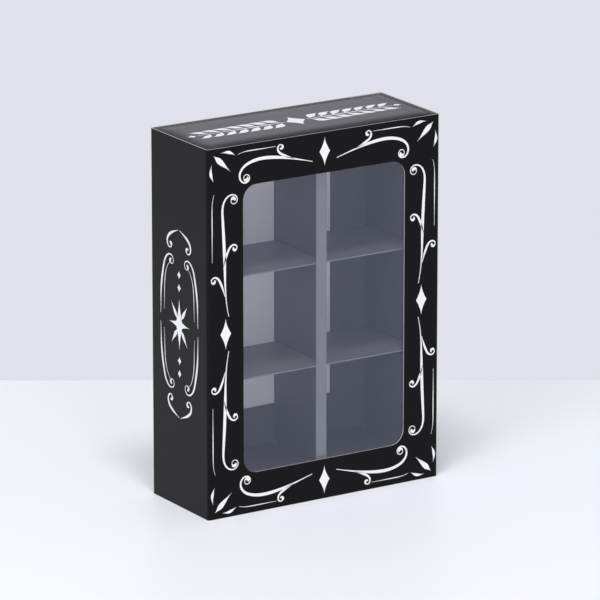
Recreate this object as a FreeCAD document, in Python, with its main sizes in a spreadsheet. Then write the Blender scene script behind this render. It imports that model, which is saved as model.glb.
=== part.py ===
"""Sleeve-and-drawer chocolate box with a film window and a card insert of six cells.

The box stands on its end, as it is photographed. X runs to the right along the
window side, Y runs from the window to the back, Z is up, and the origin is the
middle of the base. All sizes are in millimetres.
"""
import FreeCAD
import Part
import Sketcher

import math
import os

doc = FreeCAD.newDocument("chocolate_box")

# Driving dimensions
SIZES = {
    # printed card sleeve, open at both ends
    "sleeve_width": 98.5,
    "sleeve_depth": 38.6,
    "sleeve_height": 137.0,
    "card": 0.45,
    "crease_radius": 0.9,
    "seam_flap": 14.0,
    "seam_gap": 0.2,
    # window in the sleeve, its film and the glue lines
    "window_width": 68.6,
    "window_height": 107.0,
    "window_radius": 5.5,
    "film_thick": 0.2,
    "film_overlap": 5.0,
    "glue_thick": 0.1,
    "glue_setback": 1.0,
    # drawer tray with rolled double walls, which slides in the sleeve
    "side_gap": 0.6,
    "slide_gap": 0.3,
    "rolled_wall": 2.4,
    "fold_radius": 2.2,
    # folded card insert that sits in the tray: a frame with a middle strip, walls folded back from it,
    # and feet folded in from the outer walls
    "insert_gap": 0.4,
    "insert_card": 0.5,
    "insert_bend": 0.4,
    "rim_drop": 0.8,
    "strip_width": 4.5,
    "side_flange": 4.4,
    "top_flange": 7.7,
    "bottom_flange": 8.5,
    "flap_gap": 0.15,
    "foot_width": 15.0,
    # card shelves that cross the middle wall in slots
    "slot_gap": 0.1,
    "shelf_gap": 0.2,
}
SHELVES = ("lower_shelf", "upper_shelf")

sheet = doc.addObject("Spreadsheet::Sheet", "sizes")
for row, (alias, value) in enumerate(SIZES.items(), start=1):
    sheet.set(f"A{row}", alias)
    sheet.set(f"B{row}", str(value))
    sheet.setAlias(f"B{row}", alias)
doc.recompute()


def cells(words):
    """An expression written with bare cell names, with the sheet's name put before each."""
    return " ".join(f"sizes.{word}" if word in SIZES else word for word in words.split())


# Places that several pieces share, each worked out from the driving dimensions
FRONT_INSIDE = "( sleeve_depth / 2 - card )"
FILM_BACK = f"( {FRONT_INSIDE} - glue_thick - film_thick )"
SEAM_FRONT = "( sleeve_depth / 2 - 2 * card - glue_thick )"
TRAY_FRONT = f"( {FILM_BACK} - slide_gap )"
TRAY_BACK = f"( {SEAM_FRONT} - slide_gap )"
TRAY_WIDTH = "( sleeve_width - 2 * card - 2 * side_gap )"
TRAY_LENGTH = "sleeve_height"
TRAY_FLOOR = f"( {TRAY_BACK} - card )"
INSERT_WIDTH = f"( {TRAY_WIDTH} - 2 * rolled_wall - 2 * insert_gap )"
INSERT_LENGTH = f"( {TRAY_LENGTH} - 2 * rolled_wall - 2 * insert_gap )"
INSERT_BOTTOM = "( rolled_wall + insert_gap )"
INSERT_FRONT = f"( {TRAY_FRONT} - rim_drop )"
COLUMN_WIDTH = f"( ( {INSERT_WIDTH} - strip_width ) / 2 - side_flange )"
COLUMN_HEIGHT = f"( {INSERT_LENGTH} - top_flange - bottom_flange )"
COLUMN_BOTTOM = f"( {INSERT_BOTTOM} + bottom_flange )"
COLUMN_TOP = f"( {COLUMN_BOTTOM} + {COLUMN_HEIGHT} )"
COLUMN_SIDE = f"( strip_width / 2 + {COLUMN_WIDTH} )"
FLAP_BOTTOM = f"( {COLUMN_BOTTOM} + flap_gap )"
FLAP_HEIGHT = f"( {COLUMN_HEIGHT} - 2 * flap_gap )"
END_FLAPS = (
    (f"( {COLUMN_SIDE} - flap_gap )", f"( {COLUMN_SIDE} + strip_width / 2 - insert_card - 2 * flap_gap )"),
    ("( -1 * strip_width / 2 - flap_gap )", f"( {COLUMN_WIDTH} - 2 * flap_gap )"),
)
ROW_PITCH = f"( {COLUMN_HEIGHT} / {len(SHELVES) + 1} )"
WALL_FRONT = f"( {INSERT_FRONT} - insert_card )"
WALL_DEPTH = f"( {WALL_FRONT} + {TRAY_FLOOR} )"
WINDOW_BOTTOM = "( ( sleeve_height - window_height ) / 2 )"


def bind(thing, prop, words):
    """Binds a property to an expression in the sheet's cells."""
    thing.setExpression(prop, cells(words))


def new_body(label):
    body = doc.addObject("PartDesign::Body", label)
    body.Label = label
    return body


def new_sketch(body, name, plane, offset="0"):
    """A sketch on one of the body's origin planes, moved along the plane's normal by offset."""
    sketch = body.newObject("Sketcher::SketchObject", name)
    support = next(f for f in body.Origin.OriginFeatures if f.Role == plane)
    sketch.AttachmentSupport = [(support, "")]
    sketch.MapMode = "FlatFace"
    bind(sketch, ".AttachmentOffset.Base.z", offset)
    return sketch


def add_rectangle(sketch, left, low, width, height, corner=None):
    """Draws a rectangle, with round corners where a radius is given, bound to the sheet.

    left is how far its left side lies to the left of the origin, and low is how far
    its lower side lies above the origin; both may be negative.
    """
    values = {k: sheet.evalExpression(cells(v)) for k, v in
              {"left": left, "low": low, "width": width, "height": height}.items()}
    radius = sheet.evalExpression(cells(corner)) if corner else 0.0
    x0, y0 = -values["left"], values["low"]
    x1, y1 = x0 + values["width"], y0 + values["height"]
    point = FreeCAD.Vector
    ends = [
        (point(x0 + radius, y0, 0), point(x1 - radius, y0, 0)),
        (point(x1, y0 + radius, 0), point(x1, y1 - radius, 0)),
        (point(x1 - radius, y1, 0), point(x0 + radius, y1, 0)),
        (point(x0, y1 - radius, 0), point(x0, y0 + radius, 0)),
    ]
    lines = [sketch.addGeometry(Part.LineSegment(a, b), False) for a, b in ends]
    for line, kind in zip(lines, ("Horizontal", "Vertical") * 2):
        sketch.addConstraint(Sketcher.Constraint(kind, line))
    if corner:
        centres = [(x1 - radius, y0 + radius), (x1 - radius, y1 - radius),
                   (x0 + radius, y1 - radius), (x0 + radius, y0 + radius)]
        arcs = []
        for turn, (cx, cy) in enumerate(centres):
            circle = Part.Circle(point(cx, cy, 0), point(0, 0, 1), radius)
            start = (turn - 1) * math.pi / 2
            arcs.append(sketch.addGeometry(Part.ArcOfCircle(circle, start, start + math.pi / 2), False))
        for turn in range(4):
            after = lines[(turn + 1) % 4]
            sketch.addConstraint(Sketcher.Constraint("Tangent", lines[turn], 2, arcs[turn], 1))
            sketch.addConstraint(Sketcher.Constraint("Tangent", arcs[turn], 2, after, 1))
        for arc in arcs[1:]:
            sketch.addConstraint(Sketcher.Constraint("Equal", arcs[0], arc))
        bind_size(sketch, Sketcher.Constraint("Radius", arcs[0], radius), corner)
    else:
        for turn in range(4):
            after = lines[(turn + 1) % 4]
            sketch.addConstraint(Sketcher.Constraint("Coincident", lines[turn], 2, after, 1))
    bottom, right, top, left_side = lines
    bind_size(sketch, Sketcher.Constraint("DistanceX", left_side, 2, right, 1, values["width"]), width)
    bind_size(sketch, Sketcher.Constraint("DistanceY", bottom, 2, top, 1, values["height"]), height)
    bind_size(sketch, Sketcher.Constraint("DistanceX", left_side, 2, -1, 1, values["left"]), left)
    bind_size(sketch, Sketcher.Constraint("DistanceY", -1, 1, bottom, 1, values["low"]), low)


def bind_size(sketch, constraint, words):
    index = sketch.addConstraint(constraint)
    bind(sketch, f"Constraints[{index}]", words)


def centred_rectangle(sketch, low, width, height, corner=None):
    add_rectangle(sketch, f"{width} / 2", low, width, height, corner)


def extrude(body, kind, name, sketch, length=None, backwards=False):
    """A Pad or a Pocket of a sketch; with no length, a pocket goes through everything."""
    feature = body.newObject(f"PartDesign::{kind}", name)
    feature.Profile = sketch
    if length is None:
        feature.Type = "ThroughAll"
        feature.Midplane = True
    else:
        bind(feature, "Length", length)
    feature.Reversed = backwards
    doc.recompute()
    return feature


def round_edges(body, name, feature, radius, chosen):
    """Fillets the edges of a feature that the test chosen picks by their ends."""
    picked = []
    for number, edge in enumerate(feature.Shape.Edges, start=1):
        ends = [v.Point for v in edge.Vertexes]
        if len(ends) == 2 and chosen(*ends):
            picked.append(f"Edge{number}")
    fillet = body.newObject("PartDesign::Fillet", name)
    fillet.Base = (feature, picked)
    bind(fillet, "Radius", radius)
    doc.recompute()
    return fillet


def size(words):
    """The value of an expression in the sheet's cells."""
    return float(sheet.evalExpression(cells(words)))


def same(a, b, tolerance=1e-4):
    return abs(a - b) < tolerance


# Outer sleeve: one card strip folded round, glued to its own flap inside the back panel
def make_sleeve():
    body = new_body("outer_sleeve")
    outline = new_sketch(body, "sleeve_outline", "XY_Plane")
    centred_rectangle(outline, "-1 * sleeve_depth / 2", "sleeve_width", "sleeve_depth", "crease_radius")
    extrude(body, "Pad", "sleeve_block", outline, "sleeve_height")

    hollow = new_sketch(body, "sleeve_hollow", "XY_Plane")
    inner_width, inner_depth = "( sleeve_width - 2 * card )", "( sleeve_depth - 2 * card )"
    centred_rectangle(hollow, f"-1 * {inner_depth} / 2", inner_width, inner_depth, "( crease_radius - card )")
    extrude(body, "Pocket", "sleeve_walls", hollow)

    window = new_sketch(body, "window_outline", "XZ_Plane", "sleeve_depth / 2")
    centred_rectangle(window, WINDOW_BOTTOM, "window_width", "window_height", "window_radius")
    extrude(body, "Pocket", "window_cut", window, "2 * card")

    slit = new_sketch(body, "seam_slit_outline", "XY_Plane")
    add_rectangle(slit, "-1 * ( sleeve_width / 2 - crease_radius - seam_gap )", f"( {FRONT_INSIDE} - card )",
                  "seam_gap", "3 * card")
    extrude(body, "Pocket", "seam_slit", slit)

    flap = new_sketch(body, "seam_flap_outline", "XY_Plane")
    add_rectangle(flap, "-1 * ( sleeve_width / 2 - card - seam_flap )", SEAM_FRONT, "seam_flap", "card")
    extrude(body, "Pad", "seam_flap_fold", flap, "sleeve_height")
    return body


# Glue line between the seam flap and the back panel
def make_seam_glue():
    body = new_body("seam_adhesive")
    outline = new_sketch(body, "seam_glue_outline", "XY_Plane", "glue_setback")
    add_rectangle(outline, "-1 * ( sleeve_width / 2 - card - seam_flap + glue_setback )",
                  f"( {SEAM_FRONT} + card )",
                  "( seam_flap - 2 * glue_setback + card - crease_radius - seam_gap )", "glue_thick")
    extrude(body, "Pad", "seam_glue_line", outline, "sleeve_height - 2 * glue_setback")
    return body


# Glue frame that holds the film round the window
def make_window_glue():
    body = new_body("window_adhesive")
    outline = new_sketch(body, "window_glue_outline", "XZ_Plane", f"{FRONT_INSIDE} - glue_thick")
    reach = "( film_overlap - glue_setback )"
    centred_rectangle(outline, f"{WINDOW_BOTTOM} - {reach}", f"( window_width + 2 * {reach} )",
                      f"( window_height + 2 * {reach} )", f"( window_radius + {reach} )")
    centred_rectangle(outline, f"{WINDOW_BOTTOM} - glue_setback", "( window_width + 2 * glue_setback )",
                      "( window_height + 2 * glue_setback )", "( window_radius + glue_setback )")
    extrude(body, "Pad", "window_glue_frame", outline, "glue_thick")
    return body


# Clear film behind the window
def make_film():
    body = new_body("window_film")
    outline = new_sketch(body, "film_outline", "XZ_Plane", FILM_BACK)
    centred_rectangle(outline, f"{WINDOW_BOTTOM} - film_overlap", "( window_width + 2 * film_overlap )",
                      "( window_height + 2 * film_overlap )", "( window_radius + film_overlap )")
    extrude(body, "Pad", "film_sheet", outline, "film_thick")
    return body


# Drawer tray: card floor and four rolled double walls, open to the window
def make_tray():
    body = new_body("drawer_tray")
    outline = new_sketch(body, "tray_outline", "XZ_Plane", f"-1 * {TRAY_BACK}")
    centred_rectangle(outline, "0", TRAY_WIDTH, TRAY_LENGTH)
    block = extrude(body, "Pad", "tray_block", outline, f"{TRAY_FRONT} + {TRAY_BACK}")

    round_edges(body, "tray_folds", block, "fold_radius", lambda a, b: True)

    hollow = new_sketch(body, "tray_hollow", "XZ_Plane", TRAY_FRONT)
    centred_rectangle(hollow, "rolled_wall", f"( {TRAY_WIDTH} - 2 * rolled_wall )",
                      f"( {TRAY_LENGTH} - 2 * rolled_wall )")
    extrude(body, "Pocket", "tray_walls", hollow, f"{TRAY_FRONT} + {TRAY_FLOOR}")
    return body


# Insert: one card sheet with two column openings, whose flaps are folded back as walls
def make_insert():
    body = new_body("pocket_insert")
    outline = new_sketch(body, "insert_outline", "XZ_Plane", WALL_FRONT)
    centred_rectangle(outline, INSERT_BOTTOM, INSERT_WIDTH, INSERT_LENGTH)
    extrude(body, "Pad", "insert_face", outline, "insert_card")

    openings = new_sketch(body, "column_openings", "XZ_Plane", INSERT_FRONT)
    for left in (COLUMN_SIDE, "( -1 * strip_width / 2 )"):
        add_rectangle(openings, left, COLUMN_BOTTOM, COLUMN_WIDTH, COLUMN_HEIGHT)
    extrude(body, "Pocket", "column_cuts", openings, "insert_card")

    flaps = new_sketch(body, "wall_outlines", "XZ_Plane", INSERT_FRONT)
    middle_wall = "( insert_card - strip_width / 2 )"
    for left in (f"( {COLUMN_SIDE} + insert_card )", middle_wall, f"( -1 * {COLUMN_SIDE} )"):
        add_rectangle(flaps, left, FLAP_BOTTOM, "insert_card", FLAP_HEIGHT)
    for left, width in END_FLAPS:
        for low in (f"( {COLUMN_BOTTOM} - insert_card )", COLUMN_TOP):
            add_rectangle(flaps, left, low, width, "insert_card")
    walls = extrude(body, "Pad", "folded_walls", flaps, f"{WALL_DEPTH} + insert_card", backwards=True)
    round_edges(body, "wall_bends", walls, "insert_bend", on_bend)

    side_feet = new_sketch(body, "side_foot_outlines", "XZ_Plane", f"-1 * {TRAY_FLOOR}")
    for left in (f"( {COLUMN_SIDE} + insert_card )", f"( foot_width - {COLUMN_SIDE} )"):
        add_rectangle(side_feet, left, FLAP_BOTTOM, "( foot_width + insert_card )", FLAP_HEIGHT)
    extrude(body, "Pad", "side_feet", side_feet, "insert_card")
    end_feet = new_sketch(body, "end_foot_outlines", "XZ_Plane", f"-1 * {TRAY_FLOOR}")
    for left, width in END_FLAPS:
        for low in (f"( {COLUMN_BOTTOM} - insert_card )", f"( {COLUMN_TOP} - foot_width )"):
            add_rectangle(end_feet, left, low, width, "( foot_width + insert_card )")
    extrude(body, "Pad", "end_feet", end_feet, "insert_card")

    slots = new_sketch(body, "slot_outlines", "XZ_Plane", f"-1 * {TRAY_FLOOR}")
    for row in range(len(SHELVES)):
        add_rectangle(slots, "( 2 * insert_card - strip_width / 2 )", slot_low(row), "( 3 * insert_card )",
                      "( insert_card + 2 * slot_gap )")
    extrude(body, "Pocket", "wall_slots", slots, f"{WALL_DEPTH} / 2", backwards=True)
    return body


def slot_low(row):
    """Height of the lower side of the slot above a row of cells."""
    return f"( {COLUMN_BOTTOM} + {row + 1} * {ROW_PITCH} - insert_card / 2 - slot_gap )"


def on_bend(a, b):
    """True for a front edge of a column opening where a wall folds back; the strip's left edge is cut."""
    front = -size(INSERT_FRONT)
    if not (same(a.y, front) and same(b.y, front)):
        return False
    across = size(COLUMN_SIDE)
    upright = same(a.x, b.x) and (same(a.x, size("strip_width / 2")) or same(abs(a.x), across))
    heights = (size(COLUMN_BOTTOM), size(COLUMN_TOP))
    return upright or same(a.z, b.z) and any(same(a.z, height) for height in heights)


# Shelf between two rows: a card strip across both columns, slotted onto the middle wall
def make_shelf(name, row):
    body = new_body(name)
    half = f"( {COLUMN_SIDE} - shelf_gap )"
    height = f"{slot_low(row)} + slot_gap"
    outline = new_sketch(body, f"{name}_outline", "XY_Plane", height)
    add_rectangle(outline, half, f"( -1 * {WALL_FRONT} )", f"( 2 * {half} )",
                  f"( {WALL_DEPTH} - insert_card )")
    extrude(body, "Pad", f"{name}_card", outline, "insert_card")

    slot = new_sketch(body, f"{name}_slot", "XY_Plane", height)
    add_rectangle(slot, "( insert_card - strip_width / 2 + slot_gap )", f"( -1 * {INSERT_FRONT} )",
                  "( insert_card + 2 * slot_gap )", f"( {WALL_DEPTH} / 2 + insert_card + slot_gap )")
    extrude(body, "Pocket", f"{name}_cut", slot)
    return body


parts = [make_sleeve(), make_seam_glue(), make_window_glue(), make_film(), make_tray(), make_insert()]
parts += [make_shelf(name, row) for row, name in enumerate(SHELVES)]
doc.recompute()

for thing in doc.Objects:
    if {"Invalid", "Error"} & set(thing.State):
        raise RuntimeError(f"{thing.Name} failed: {thing.State}")
for part in parts:
    if part.Shape.isNull() or not part.Shape.isValid():
        raise RuntimeError(f"{part.Label} has no valid shape")

os.makedirs("parts", exist_ok=True)
for part in parts:
    part.Shape.exportStep(f"parts/{part.Label}.step")
    box = part.Shape.BoundBox
    print(f"{part.Label}: {len(part.Shape.Solids)} solid, {part.Shape.Volume:.1f} mm3,",
          f"X {box.XMin:.2f} to {box.XMax:.2f}, Y {box.YMin:.2f} to {box.YMax:.2f},",
          f"Z {box.ZMin:.2f} to {box.ZMax:.2f}")
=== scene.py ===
"""Looks of the sleeve-and-drawer chocolate box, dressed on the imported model.

Everything is in metres, in the model's own frame: X to the right along the window
side, Y from the window to the back, Z up, origin in the middle of the base.
"""
import math

import bmesh
import bpy
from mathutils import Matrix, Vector


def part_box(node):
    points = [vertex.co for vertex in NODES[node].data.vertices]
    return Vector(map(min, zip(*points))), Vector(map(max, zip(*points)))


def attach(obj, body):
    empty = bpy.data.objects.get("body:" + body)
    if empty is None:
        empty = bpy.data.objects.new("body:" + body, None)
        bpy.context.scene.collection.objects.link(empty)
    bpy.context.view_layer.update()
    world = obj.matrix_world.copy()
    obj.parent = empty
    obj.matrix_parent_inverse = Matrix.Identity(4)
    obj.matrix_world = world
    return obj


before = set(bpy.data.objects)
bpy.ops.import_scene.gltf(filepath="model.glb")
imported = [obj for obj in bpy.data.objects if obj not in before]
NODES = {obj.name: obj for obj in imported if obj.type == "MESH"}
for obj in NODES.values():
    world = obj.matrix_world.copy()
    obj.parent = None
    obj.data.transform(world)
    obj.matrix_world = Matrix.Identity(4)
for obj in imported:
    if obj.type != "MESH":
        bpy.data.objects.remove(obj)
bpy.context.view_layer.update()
MM = 0.001

# Camera of the photograph, fitted to the box's corners: where it stands, and its focal
# length in pixels of the 600 x 600 picture
CAMERA_PLACE = (-1.03374, -1.62930, 0.62482)
CAMERA_YAW = math.radians(32.44)
CAMERA_PITCH = math.radians(16.04)
FOCAL_PIXELS = 5546.0
PICTURE_PIXELS = 600.0
SENSOR = 36.0

# Places read from the frame
SLEEVE_LOW, SLEEVE_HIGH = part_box("outer_sleeve")
FILM_LOW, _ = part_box("window_film")
TRAY_LOW, TRAY_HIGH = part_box("drawer_tray")
FRONT_Y = SLEEVE_LOW.y
MIDDLE_Z = (SLEEVE_LOW.z + SLEEVE_HIGH.z) / 2
CARD = FILM_LOW.y - SLEEVE_LOW.y

# A face is level when at least this share of its normal points up or down
LEVEL_SHARE = 0.9

# Printed ink stands this far off the card, and each stroke a small step further than the
# one before, until the steps start again
INK_LIFT = 0.02 * MM
INK_STEP = 0.002 * MM
INK_STEPS = 4
INK_THICK = 0.015 * MM

# Stage: its colours, the share of the backdrop's light that comes evenly from all round, and
# the point that the lamps look at
FLOOR_COLOUR = (0.89, 0.905, 0.94, 1)
FLOOR_ROUGHNESS = 0.45
BACKDROP_COLOUR = (0.75, 0.755, 0.83, 1)
AMBIENT = 0.5
MIDDLE = (0, 0, MIDDLE_Z)

# Sockets of a colour Mix node, by place because its number sockets have the same names
MIX_FIRST, MIX_SECOND, MIX_RESULT = 6, 7, 2


# Node helpers
def new_material(name):
    material = bpy.data.materials.new(name)
    material.use_nodes = True
    tree = material.node_tree
    shader = tree.nodes["Principled BSDF"]
    return material, tree, shader


def add_node(tree, kind, **values):
    """A new node, with each value set on the input of that name or else on the node itself."""
    node = tree.nodes.new(kind)
    for key, value in values.items():
        if key in node.inputs:
            node.inputs[key].default_value = value
        else:
            setattr(node, key, value)
    return node


def noise(tree, scale, detail=3.0, stretch=(1, 1, 1)):
    """A noise texture in the model's own metres, finer as scale grows."""
    place = add_node(tree, "ShaderNodeTexCoord")
    mapping = add_node(tree, "ShaderNodeMapping", Scale=stretch)
    texture = add_node(tree, "ShaderNodeTexNoise", Scale=scale, Detail=detail)
    tree.links.new(place.outputs["Object"], mapping.inputs["Vector"])
    tree.links.new(mapping.outputs["Vector"], texture.inputs["Vector"])
    return texture.outputs["Fac"]


def paint(tree, shader, source, dark, light):
    """Base colour that goes from dark to light with a 0 to 1 source."""
    node = add_node(tree, "ShaderNodeMix", data_type="RGBA")
    node.inputs[MIX_FIRST].default_value = (*dark, 1)
    node.inputs[MIX_SECOND].default_value = (*light, 1)
    tree.links.new(source, node.inputs["Factor"])
    tree.links.new(node.outputs[MIX_RESULT], shader.inputs["Base Color"])


def roughen(tree, shader, source, low, high):
    """Roughness that goes from low to high with a 0 to 1 source."""
    node = add_node(tree, "ShaderNodeMapRange")
    node.inputs["To Min"].default_value = low
    node.inputs["To Max"].default_value = high
    tree.links.new(source, node.inputs["Value"])
    tree.links.new(node.outputs["Result"], shader.inputs["Roughness"])


def bump(tree, shader, source, height):
    """Fine relief of this height, made by shading alone."""
    node = add_node(tree, "ShaderNodeBump", Strength=1.0, Distance=height)
    tree.links.new(source, node.inputs["Height"])
    tree.links.new(node.outputs["Normal"], shader.inputs["Normal"])
    return node


def combine(tree, operation, first, second, clamp=False):
    """The result of a math node on two values, each a socket or a number."""
    node = add_node(tree, "ShaderNodeMath", operation=operation, use_clamp=clamp)
    for socket, value in zip(node.inputs, (first, second)):
        if isinstance(value, float):
            socket.default_value = value
        else:
            tree.links.new(value, socket)
    return node.outputs["Value"]


def mix_shaders(tree, share, first, second):
    """A shader that is first where share is 0, and second where it is 1."""
    mix = add_node(tree, "ShaderNodeMixShader")
    tree.links.new(share, mix.inputs["Fac"])
    tree.links.new(first, mix.inputs[1])
    tree.links.new(second, mix.inputs[2])
    return mix.outputs["Shader"]


# Materials
def printed_card():
    """Black offset print on carton board with a satin coating and a faint fibre grain."""
    material, tree, shader = new_material("printed_card")
    mottle = noise(tree, 60.0)
    grain = noise(tree, 2600.0, detail=2.0)
    paint(tree, shader, mottle, (0.0008, 0.0007, 0.0010), (0.0016, 0.0014, 0.0019))
    roughen(tree, shader, mottle, 0.30, 0.38)
    shader.inputs["Specular IOR Level"].default_value = 0.13
    bump(tree, shader, grain, 0.006 * MM)
    return material


def tray_card():
    """Black coated board of the drawer, whose folds are softly rounded."""
    material, tree, shader = new_material("tray_card")
    mottle = noise(tree, 90.0)
    grain = noise(tree, 2200.0, detail=2.0)
    paint(tree, shader, mottle, (0.010, 0.009, 0.011), (0.015, 0.014, 0.017))
    roughen(tree, shader, mottle, 0.26, 0.32)
    shader.inputs["Specular IOR Level"].default_value = 0.36
    relief = bump(tree, shader, grain, 0.004 * MM)
    soft_edge = add_node(tree, "ShaderNodeBevel", samples=8, Radius=9.0 * MM)
    tree.links.new(soft_edge.outputs["Normal"], relief.inputs["Normal"])
    return material


def plain_board(name, fibre_scale, dark, light, roughness, relief):
    """Unprinted face of a board, with its fibres."""
    material, tree, shader = new_material(name)
    fibres = noise(tree, fibre_scale, detail=4.0)
    paint(tree, shader, fibres, dark, light)
    roughen(tree, shader, fibres, *roughness)
    bump(tree, shader, fibres, relief)
    return material


def card_inside():
    """Dark grey on the inside of the sleeve's board."""
    return plain_board("card_inside", fibre_scale=700.0, dark=(0.15, 0.148, 0.152),
                       light=(0.20, 0.198, 0.202), roughness=(0.75, 0.9), relief=0.01 * MM)


def card_liner():
    """White liner inside the drawer."""
    return plain_board("card_liner", fibre_scale=500.0, dark=(0.82, 0.82, 0.83),
                       light=(0.88, 0.88, 0.88), roughness=(0.55, 0.7), relief=0.006 * MM)


def cut_edge(name, dark, light, rough):
    """Bare edge of a board where it is cut."""
    material, tree, shader = new_material(name)
    fibres = noise(tree, 1800.0, stretch=(1, 1, 0.2))
    paint(tree, shader, fibres, dark, light)
    shader.inputs["Roughness"].default_value = rough
    return material


def insert_card(name, dark, light):
    """Coated board of the insert, between two near colours."""
    material, tree, shader = new_material(name)
    mottle = noise(tree, 80.0)
    paint(tree, shader, mottle, dark, light)
    roughen(tree, shader, mottle, 0.40, 0.50)
    return material


def mirror_share(tree, ior, faces):
    """How much a film of so many faces mirrors: all of it where the light goes in, none on the way out."""
    fresnel = add_node(tree, "ShaderNodeFresnel", IOR=ior)
    side = add_node(tree, "ShaderNodeNewGeometry")
    going_in = combine(tree, "SUBTRACT", 1.0, side.outputs["Backfacing"])
    all_faces = combine(tree, "MULTIPLY", fresnel.outputs["Fac"], faces)
    return combine(tree, "MULTIPLY", all_faces, going_in, clamp=True)


def clear_film():
    """Glossy clear film: it lets light straight through and mirrors a little of the room."""
    material, tree, shader = new_material("clear_film")
    tree.nodes.remove(shader)
    clear = add_node(tree, "ShaderNodeBsdfTransparent", Color=(0.97, 0.972, 0.985, 1))
    gloss = add_node(tree, "ShaderNodeBsdfGlossy", Color=(0.74, 0.78, 1.0, 1), Roughness=0.03)
    waves = noise(tree, 14.0, detail=1.0)
    bump(tree, gloss, waves, 0.05 * MM)
    share = mirror_share(tree, ior=1.54, faces=2.0)
    film = mix_shaders(tree, share, clear.outputs["BSDF"], gloss.outputs["BSDF"])
    tree.links.new(film, tree.nodes["Material Output"].inputs["Surface"])
    return material


def white_ink():
    """White print, slightly uneven where the black shows through."""
    material, tree, shader = new_material("white_ink")
    wear = noise(tree, 900.0)
    paint(tree, shader, wear, (0.74, 0.74, 0.76), (0.88, 0.88, 0.89))
    roughen(tree, shader, wear, 0.35, 0.5)
    return material


def dried_glue():
    """Yellowish white glue, in streaks along the box."""
    material, tree, shader = new_material("dried_glue")
    streaks = noise(tree, 300.0, detail=2.0, stretch=(1, 1, 0.15))
    paint(tree, shader, streaks, (0.62, 0.60, 0.55), (0.72, 0.70, 0.66))
    roughen(tree, shader, streaks, 0.3, 0.5)
    return material


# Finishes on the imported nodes
def finish_node(name, *materials):
    slots = NODES[name].data.materials
    slots.clear()
    for material in materials:
        slots.append(material)


def is_level(face):
    return abs(face.normal.z) > LEVEL_SHARE


def finish_sleeve():
    """Print outside, dark grey inside, and the board's core on every cut edge."""
    core_material = cut_edge("card_core", (0.30, 0.29, 0.29), (0.48, 0.47, 0.46), 0.9)
    finish_node("outer_sleeve", printed_card(), card_inside(), core_material)
    printed, inside, core = 0, 1, 2
    probe = 0.5 * MM
    facing_share = 0.5
    for face in NODES["outer_sleeve"].data.polygons:
        beyond = face.center + face.normal * probe
        in_panel = abs(face.center.y) > SLEEVE_HIGH.y - CARD
        window_edge = in_panel and abs(face.normal.y) < facing_share
        if abs(beyond.x) > SLEEVE_HIGH.x or abs(beyond.y) > SLEEVE_HIGH.y:
            face.material_index = printed
        elif window_edge or is_level(face):
            face.material_index = core
        else:
            face.material_index = inside


def finish_tray():
    """Black coating outside and on the rims, white liner inside."""
    finish_node("drawer_tray", tray_card(), card_liner())
    coating, liner = 0, 1
    middle = (TRAY_LOW + TRAY_HIGH) / 2
    half = (TRAY_HIGH - TRAY_LOW) / 2
    margin = 0.75 * MM
    for face in NODES["drawer_tray"].data.polygons:
        away = face.center - middle
        inside = abs(away.x) < half.x - margin and abs(away.z) < half.z - margin
        face.material_index = liner if inside and face.normal.dot(away) < 0 else coating


def finish_insert():
    """Grey on the insert's front; on its walls and feet behind the front the same card is painted near
    black as painted shade, and the shelves are a darker grey.
    """
    grey = insert_card("insert_grey", (0.170, 0.168, 0.175), (0.190, 0.187, 0.195))
    # near-black copy of the insert's grey card, painted shade for the walls and feet that lie behind the
    # front
    black = insert_card("insert_painted_shade", (0.036, 0.035, 0.039), (0.046, 0.045, 0.049))
    shelf = insert_card("shelf_grey", (0.130, 0.128, 0.134), (0.150, 0.148, 0.154))
    edge = cut_edge("insert_edge", (0.15, 0.148, 0.154), (0.19, 0.188, 0.194), 0.85)
    finish_node("pocket_insert", grey, black)
    on_front, behind = 0, 1
    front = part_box("pocket_insert")[0].y
    for face in NODES["pocket_insert"].data.polygons:
        # faces behind the front get the painted-shade copy, those on the front the grey card
        face.material_index = on_front if face.center.y < front + CARD else behind
    on_face, on_edge = 0, 1
    for name in ("lower_shelf", "upper_shelf"):
        finish_node(name, shelf, edge)
        for face in NODES[name].data.polygons:
            face.material_index = on_face if is_level(face) else on_edge


finish_sleeve()
finish_node("seam_adhesive", dried_glue())
finish_node("window_adhesive", dried_glue())
finish_node("window_film", clear_film())
finish_tray()
finish_insert()
INK = white_ink()


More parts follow.
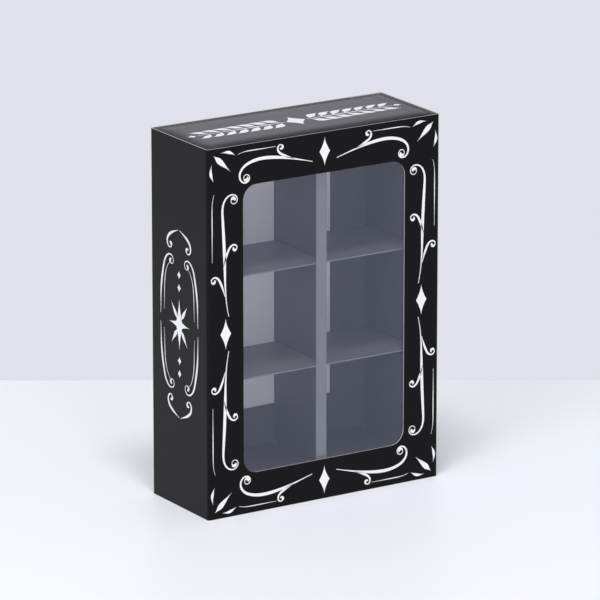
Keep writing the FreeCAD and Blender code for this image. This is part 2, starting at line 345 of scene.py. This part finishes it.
# Printed flourishes: flat closed pieces of ink, drawn in millimetres on one panel
class Print:
    """Gathers ink shapes on a panel, then turns them into one thin closed mesh."""

    def __init__(self, name, centre, right, up):
        self.name = name
        self.centre = Vector(centre)
        self.right = Vector(right)
        self.up = Vector(up)
        self.out = self.right.cross(self.up)
        self.mesh = bmesh.new()
        self.shapes = 0

    def place(self, point, height):
        return self.centre + (self.right * point[0] + self.up * point[1]) * MM + self.out * height

    def row(self, points, height):
        return [self.mesh.verts.new(self.place(point, height)) for point in points]

    def ring(self, left, right):
        """Adds one closed shape between two lists of points that run side by side."""
        base = INK_LIFT + INK_STEP * (self.shapes % INK_STEPS)
        top = base + INK_THICK
        self.shapes += 1
        low_left, low_right = self.row(left, base), self.row(right, base)
        top_left, top_right = self.row(left, top), self.row(right, top)
        face = self.mesh.faces.new
        for i in range(len(left) - 1):
            j = i + 1
            face((top_left[i], top_right[i], top_right[j], top_left[j]))
            face((low_left[j], low_right[j], low_right[i], low_left[i]))
            face((low_left[i], top_left[i], top_left[j], low_left[j]))
            face((low_right[j], top_right[j], top_right[i], low_right[i]))
        face((low_right[0], top_right[0], top_left[0], low_left[0]))
        face((low_left[-1], top_left[-1], top_right[-1], low_right[-1]))

    def stroke(self, points, widths, mirror=(1, 1)):
        """A pen stroke along a line of points, as wide at each point as widths says."""
        left, right = [], []
        for i, point in enumerate(points):
            before = points[max(i - 1, 0)]
            after = points[min(i + 1, len(points) - 1)]
            run = math.hypot(after[0] - before[0], after[1] - before[1])
            across = ((before[1] - after[1]) / run, (after[0] - before[0]) / run)
            for side, sign in ((left, 0.5), (right, -0.5)):
                side.append(tuple(mirror[a] * (point[a] + sign * widths[i] * across[a]) for a in (0, 1)))
        if mirror[0] * mirror[1] < 0:
            left, right = right, left
        self.ring(left, right)

    def four(self, points, thin, thick, peak, drop=0.0):
        """The same swelling stroke in all four quarters of the panel."""
        widths = swell(points, thin, thick, peak, drop)
        for mirror in ((1, 1), (-1, 1), (-1, -1), (1, -1)):
            self.stroke(points, widths, mirror)

    def finish(self, body):
        bmesh.ops.recalc_face_normals(self.mesh, faces=self.mesh.faces)
        data = bpy.data.meshes.new(self.name)
        self.mesh.to_mesh(data)
        self.mesh.free()
        data.materials.append(INK)
        piece = bpy.data.objects.new(self.name, data)
        bpy.context.scene.collection.objects.link(piece)
        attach(piece, body)


def curl(start, heading, *bends):
    """A smooth pen line: each bend is a length and the curvature at its start and end."""
    pen_step = 0.35
    x, y = start
    angle = math.radians(heading)
    points = [(x, y)]
    for length, first, last in bends:
        count = max(2, math.ceil(length / pen_step))
        for i in range(count):
            angle += (first + (last - first) * (i + 0.5) / count) * length / count
            x += math.cos(angle) * length / count
            y += math.sin(angle) * length / count
            points.append((x, y))
    return points


def line(start, end, bulge=0.0, count=16):
    """A line of points from start to end, bowed to its left by bulge."""
    points = []
    dx, dy = end[0] - start[0], end[1] - start[1]
    run = math.hypot(dx, dy)
    for i in range(count + 1):
        share = i / count
        bow = bulge * math.sin(math.pi * share) / run
        points.append((start[0] + dx * share - dy * bow, start[1] + dy * share + dx * bow))
    return points


def swell(points, thin, thick, peak, drop=0.0):
    """Widths of a stroke that swells from thin to thick and back. It is widest at peak along its
    length, and drop is the width of its round end.
    """
    drop_points = 9
    widths = []
    last = len(points) - 1
    for i in range(len(points)):
        share = i / last
        rise = share / peak if share < peak else (1 - share) / (1 - peak)
        widths.append(thin + (thick - thin) * math.sin(rise * math.pi / 2) ** 2)
    if drop:
        for i in range(drop_points):
            turn = math.pi * (i + 0.5) / drop_points
            widths[last - i] = max(widths[last - i], drop * math.sin(turn))
    return widths


def draw_leaf(art, start, end, thick, bulge=0.0, peak=0.45):
    """A pointed leaf in each quarter, widest at peak along its length."""
    tip = 0.06
    art.four(line(start, end, bulge), tip, thick, peak)


def draw_lozenge(art, start, end, thick, count=24, mirror=(1, 1)):
    """A four-pointed shape with hollow sides."""
    tip, hollow = 0.05, 1.6
    widths = [tip + thick * (1 - abs(2 * i / count - 1)) ** hollow for i in range(count + 1)]
    art.stroke(line(start, end, count=count), widths, mirror)


def draw_shoot(art, start, heading, length, way, thin):
    """A short shoot in each quarter, which curls to its left if way is 1, and to its right if -1."""
    slow, quick, tight = 0.06 * way, 0.75 * way, 1.7 * way
    shoot = curl(start, heading, (length, 0.0, slow), (4, slow, quick), (4, quick, tight))
    art.four(shoot, thin, thick=0.85, peak=0.35, drop=1.0)


def draw_front():
    """Volutes, shoots and lozenges round the window, the same in each quarter."""
    art = Print("front_print", (0, FRONT_Y, MIDDLE_Z), (1, 0, 0), (0, 0, 1))
    hair, fine, bold, round_end = 0.24, 0.36, 1.2, 1.3
    top = curl((5.2, 58.4), 15, (17, 0.004, -0.02), (10, -0.02, -0.07), (9, -0.07, -0.40),
               (8, -0.40, -0.95), (3, -0.95, -1.5))
    art.four(top, hair, bold, peak=0.42, drop=round_end)
    draw_shoot(art, (13.0, 60.6), 20, 5.5, 1, hair)
    side = curl((40.4, 6.4), 76, (20, 0.026, -0.004), (17, -0.004, 0.0), (9, 0.0, 0.30),
                (8, 0.30, 0.9), (3, 0.9, 1.5))
    art.four(side, hair, bold, peak=0.45, drop=round_end)
    draw_shoot(art, (42.0, 14.0), 74, 6, -1, hair)
    draw_shoot(art, (42.5, 25.0), 106, 6, 1, hair)
    draw_leaf(art, (39.6, 59.6), (46.4, 66.0), 2.0, peak=0.68)
    draw_leaf(art, (37.6, 65.2), (43.4, 66.6), 1.1, bulge=0.7)
    draw_leaf(art, (46.6, 56.6), (47.3, 62.8), 1.1, bulge=-0.7)
    upper = curl((20.5, 66.0), 0, (10, 0.0, 0.0), (6, 0.0, -0.12))
    art.four(upper, hair / 2, fine, peak=0.6)
    outer = curl((47.2, 27.0), 90, (18, 0.0, 0.0), (7, 0.0, 0.1))
    art.four(outer, hair / 2, fine, peak=0.6)
    for sign in (-1, 1):
        draw_lozenge(art, (0, sign * 56.2), (0, sign * 66.6), 4.4)
        draw_lozenge(art, (sign * 41.7, -5.6), (sign * 41.7, 5.6), 4.4)
    art.finish("sleeve")


def draw_side(name, sign):
    """A cartouche of brackets and volutes round a plain star."""
    art = Print(name, (sign * SLEEVE_HIGH.x, 0, MIDDLE_Z), (0, sign, 0), (0, 0, 1))
    hair, bold, round_end = 0.2, 1.0, 1.1
    faint, fine = 0.12, 0.38
    bracket = curl((12.8, 1.6), 95, (9, -0.03, 0.03), (9, 0.03, 0.01), (7, 0.01, 0.28),
                   (6, 0.28, 0.8), (3, 0.8, 1.5))
    art.four(bracket, hair, bold, peak=0.4, drop=round_end)
    crest = curl((0.5, 35.0), -24, (6, 0.05, -0.10), (6, -0.10, -0.55), (4.5, -0.55, -1.4))
    art.four(crest, hair, bold, peak=0.4, drop=round_end)
    inner = curl((10.4, 3.4), 96, (9, -0.03, 0.02), (8, 0.02, 0.10), (4, 0.10, 0.6))
    art.four(inner, faint, fine, peak=0.5)
    draw_leaf(art, (1.0, 1.6), (5.4, 7.6), 1.5, peak=0.35)
    draw_lozenge(art, (0, -9.4), (0, 9.4), 4.6)
    draw_lozenge(art, (-6.8, 0), (6.8, 0), 3.4)
    half_bead = 1.5
    for place in (13.6, 18.4, -13.6, -18.4):
        draw_lozenge(art, (0, place - half_bead), (0, place + half_bead), 2.2, count=16)
    art.finish("sleeve")


def draw_tray_end():
    """A bold band of leaves on the drawer's end, which get smaller outwards."""
    art = Print("tray_print", (0, 0, TRAY_HIGH.z), (1, 0, 0), (0, 1, 0))
    pairs, pitch, first = 7, 5.0, 6.2
    leaf_run, leaf_rise, leaf_thick = 6.4, 5.6, 3.3
    rise_loss, thick_loss = 0.2, 0.12
    gap = 0.4
    stem_start, stem_end = 4.6, first + pitch * pairs
    stem = line((stem_start, 0), (stem_end, 0))
    for way in (1, -1):
        art.stroke(stem, swell(stem, 0.3, 0.8, peak=0.3), (way, 1))
        draw_lozenge(art, (stem_end + gap, 0), (stem_end + 4.0, 0), 2.8, count=16, mirror=(way, 1))
    for i in range(pairs):
        root = first + pitch * i
        end = (root + leaf_run, leaf_rise - rise_loss * i)
        draw_leaf(art, (root, gap), end, leaf_thick - thick_loss * i, bulge=0.9)
    draw_lozenge(art, (0, -6.0), (0, 6.0), 8.0)
    art.finish("drawer")


draw_front()
draw_side("left_print", -1)
draw_side("right_print", 1)
draw_tray_end()


# Stage: camera, floor, world and lamps
def look_along(thing, place, target):
    thing.location = place
    thing.rotation_mode = "QUATERNION"
    thing.rotation_quaternion = (Vector(target) - Vector(place)).to_track_quat("-Z", "Y")


def make_camera():
    data = bpy.data.cameras.new("camera")
    data.sensor_width = SENSOR
    data.lens = FOCAL_PIXELS / PICTURE_PIXELS * SENSOR
    data.clip_start, data.clip_end = 0.01, 50.0
    camera = bpy.data.objects.new("camera", data)
    bpy.context.scene.collection.objects.link(camera)
    flat = math.cos(CAMERA_PITCH)
    ahead = Vector((math.sin(CAMERA_YAW) * flat, math.cos(CAMERA_YAW) * flat, -math.sin(CAMERA_PITCH)))
    look_along(camera, CAMERA_PLACE, Vector(CAMERA_PLACE) + ahead)
    bpy.context.scene.camera = camera


def make_floor():
    """A pale table whose far edge lies a little behind the box, square to the photograph's view."""
    back_edge, front_edge, half_width = 0.131, 1.5, 1.5
    across = Vector((math.cos(CAMERA_YAW), -math.sin(CAMERA_YAW), 0))
    away = Vector((math.sin(CAMERA_YAW), math.cos(CAMERA_YAW), 0))
    corners = []
    for x, y in ((-half_width, -front_edge), (half_width, -front_edge),
                 (half_width, back_edge), (-half_width, back_edge)):
        corners.append((across * x + away * y)[:])
    mesh = bpy.data.meshes.new("floor")
    mesh.from_pydata(corners, [], [(0, 1, 2, 3)])
    floor = bpy.data.objects.new("floor", mesh)
    bpy.context.scene.collection.objects.link(floor)
    material, _, shader = new_material("pale_floor")
    shader.inputs["Base Color"].default_value = FLOOR_COLOUR
    shader.inputs["Roughness"].default_value = FLOOR_ROUGHNESS
    mesh.materials.append(material)


def make_world():
    """A pale backdrop where it is seen or mirrored, and a dimmer even light from all round."""
    world = bpy.data.worlds.new("studio")
    bpy.context.scene.world = world
    world.use_nodes = True
    tree = world.node_tree
    around = tree.nodes["Background"]
    around.inputs["Color"].default_value = BACKDROP_COLOUR
    around.inputs["Strength"].default_value = AMBIENT
    backdrop = add_node(tree, "ShaderNodeBackground", Color=BACKDROP_COLOUR, Strength=1.0)
    path = add_node(tree, "ShaderNodeLightPath")
    seen = path.outputs["Is Camera Ray"]
    for ray in ("Is Glossy Ray", "Is Transmission Ray"):
        seen = combine(tree, "MAXIMUM", seen, path.outputs[ray])
    light = mix_shaders(tree, seen, around.outputs["Background"], backdrop.outputs["Background"])
    tree.links.new(light, tree.nodes["World Output"].inputs["Surface"])


def make_lamp(name, place, width, height, watts):
    """A softbox that looks at the middle of the box."""
    data = bpy.data.lights.new(name, "AREA")
    data.shape = "RECTANGLE"
    data.size, data.size_y = width, height
    data.energy = watts
    lamp = bpy.data.objects.new(name, data)
    bpy.context.scene.collection.objects.link(lamp)
    look_along(lamp, place, MIDDLE)


make_camera()
make_floor()
make_world()
make_lamp("left_softbox", (-1.70, -0.80, 0.80), width=0.8, height=0.7, watts=14.0)
make_lamp("fill_softbox", (-0.45, -1.90, 0.50), width=0.6, height=0.4, watts=7.0)
make_lamp("top_softbox", (-0.46, -0.73, 2.40), width=0.9, height=0.52, watts=35.0)

bpy.context.scene.view_settings.view_transform = "Standard"
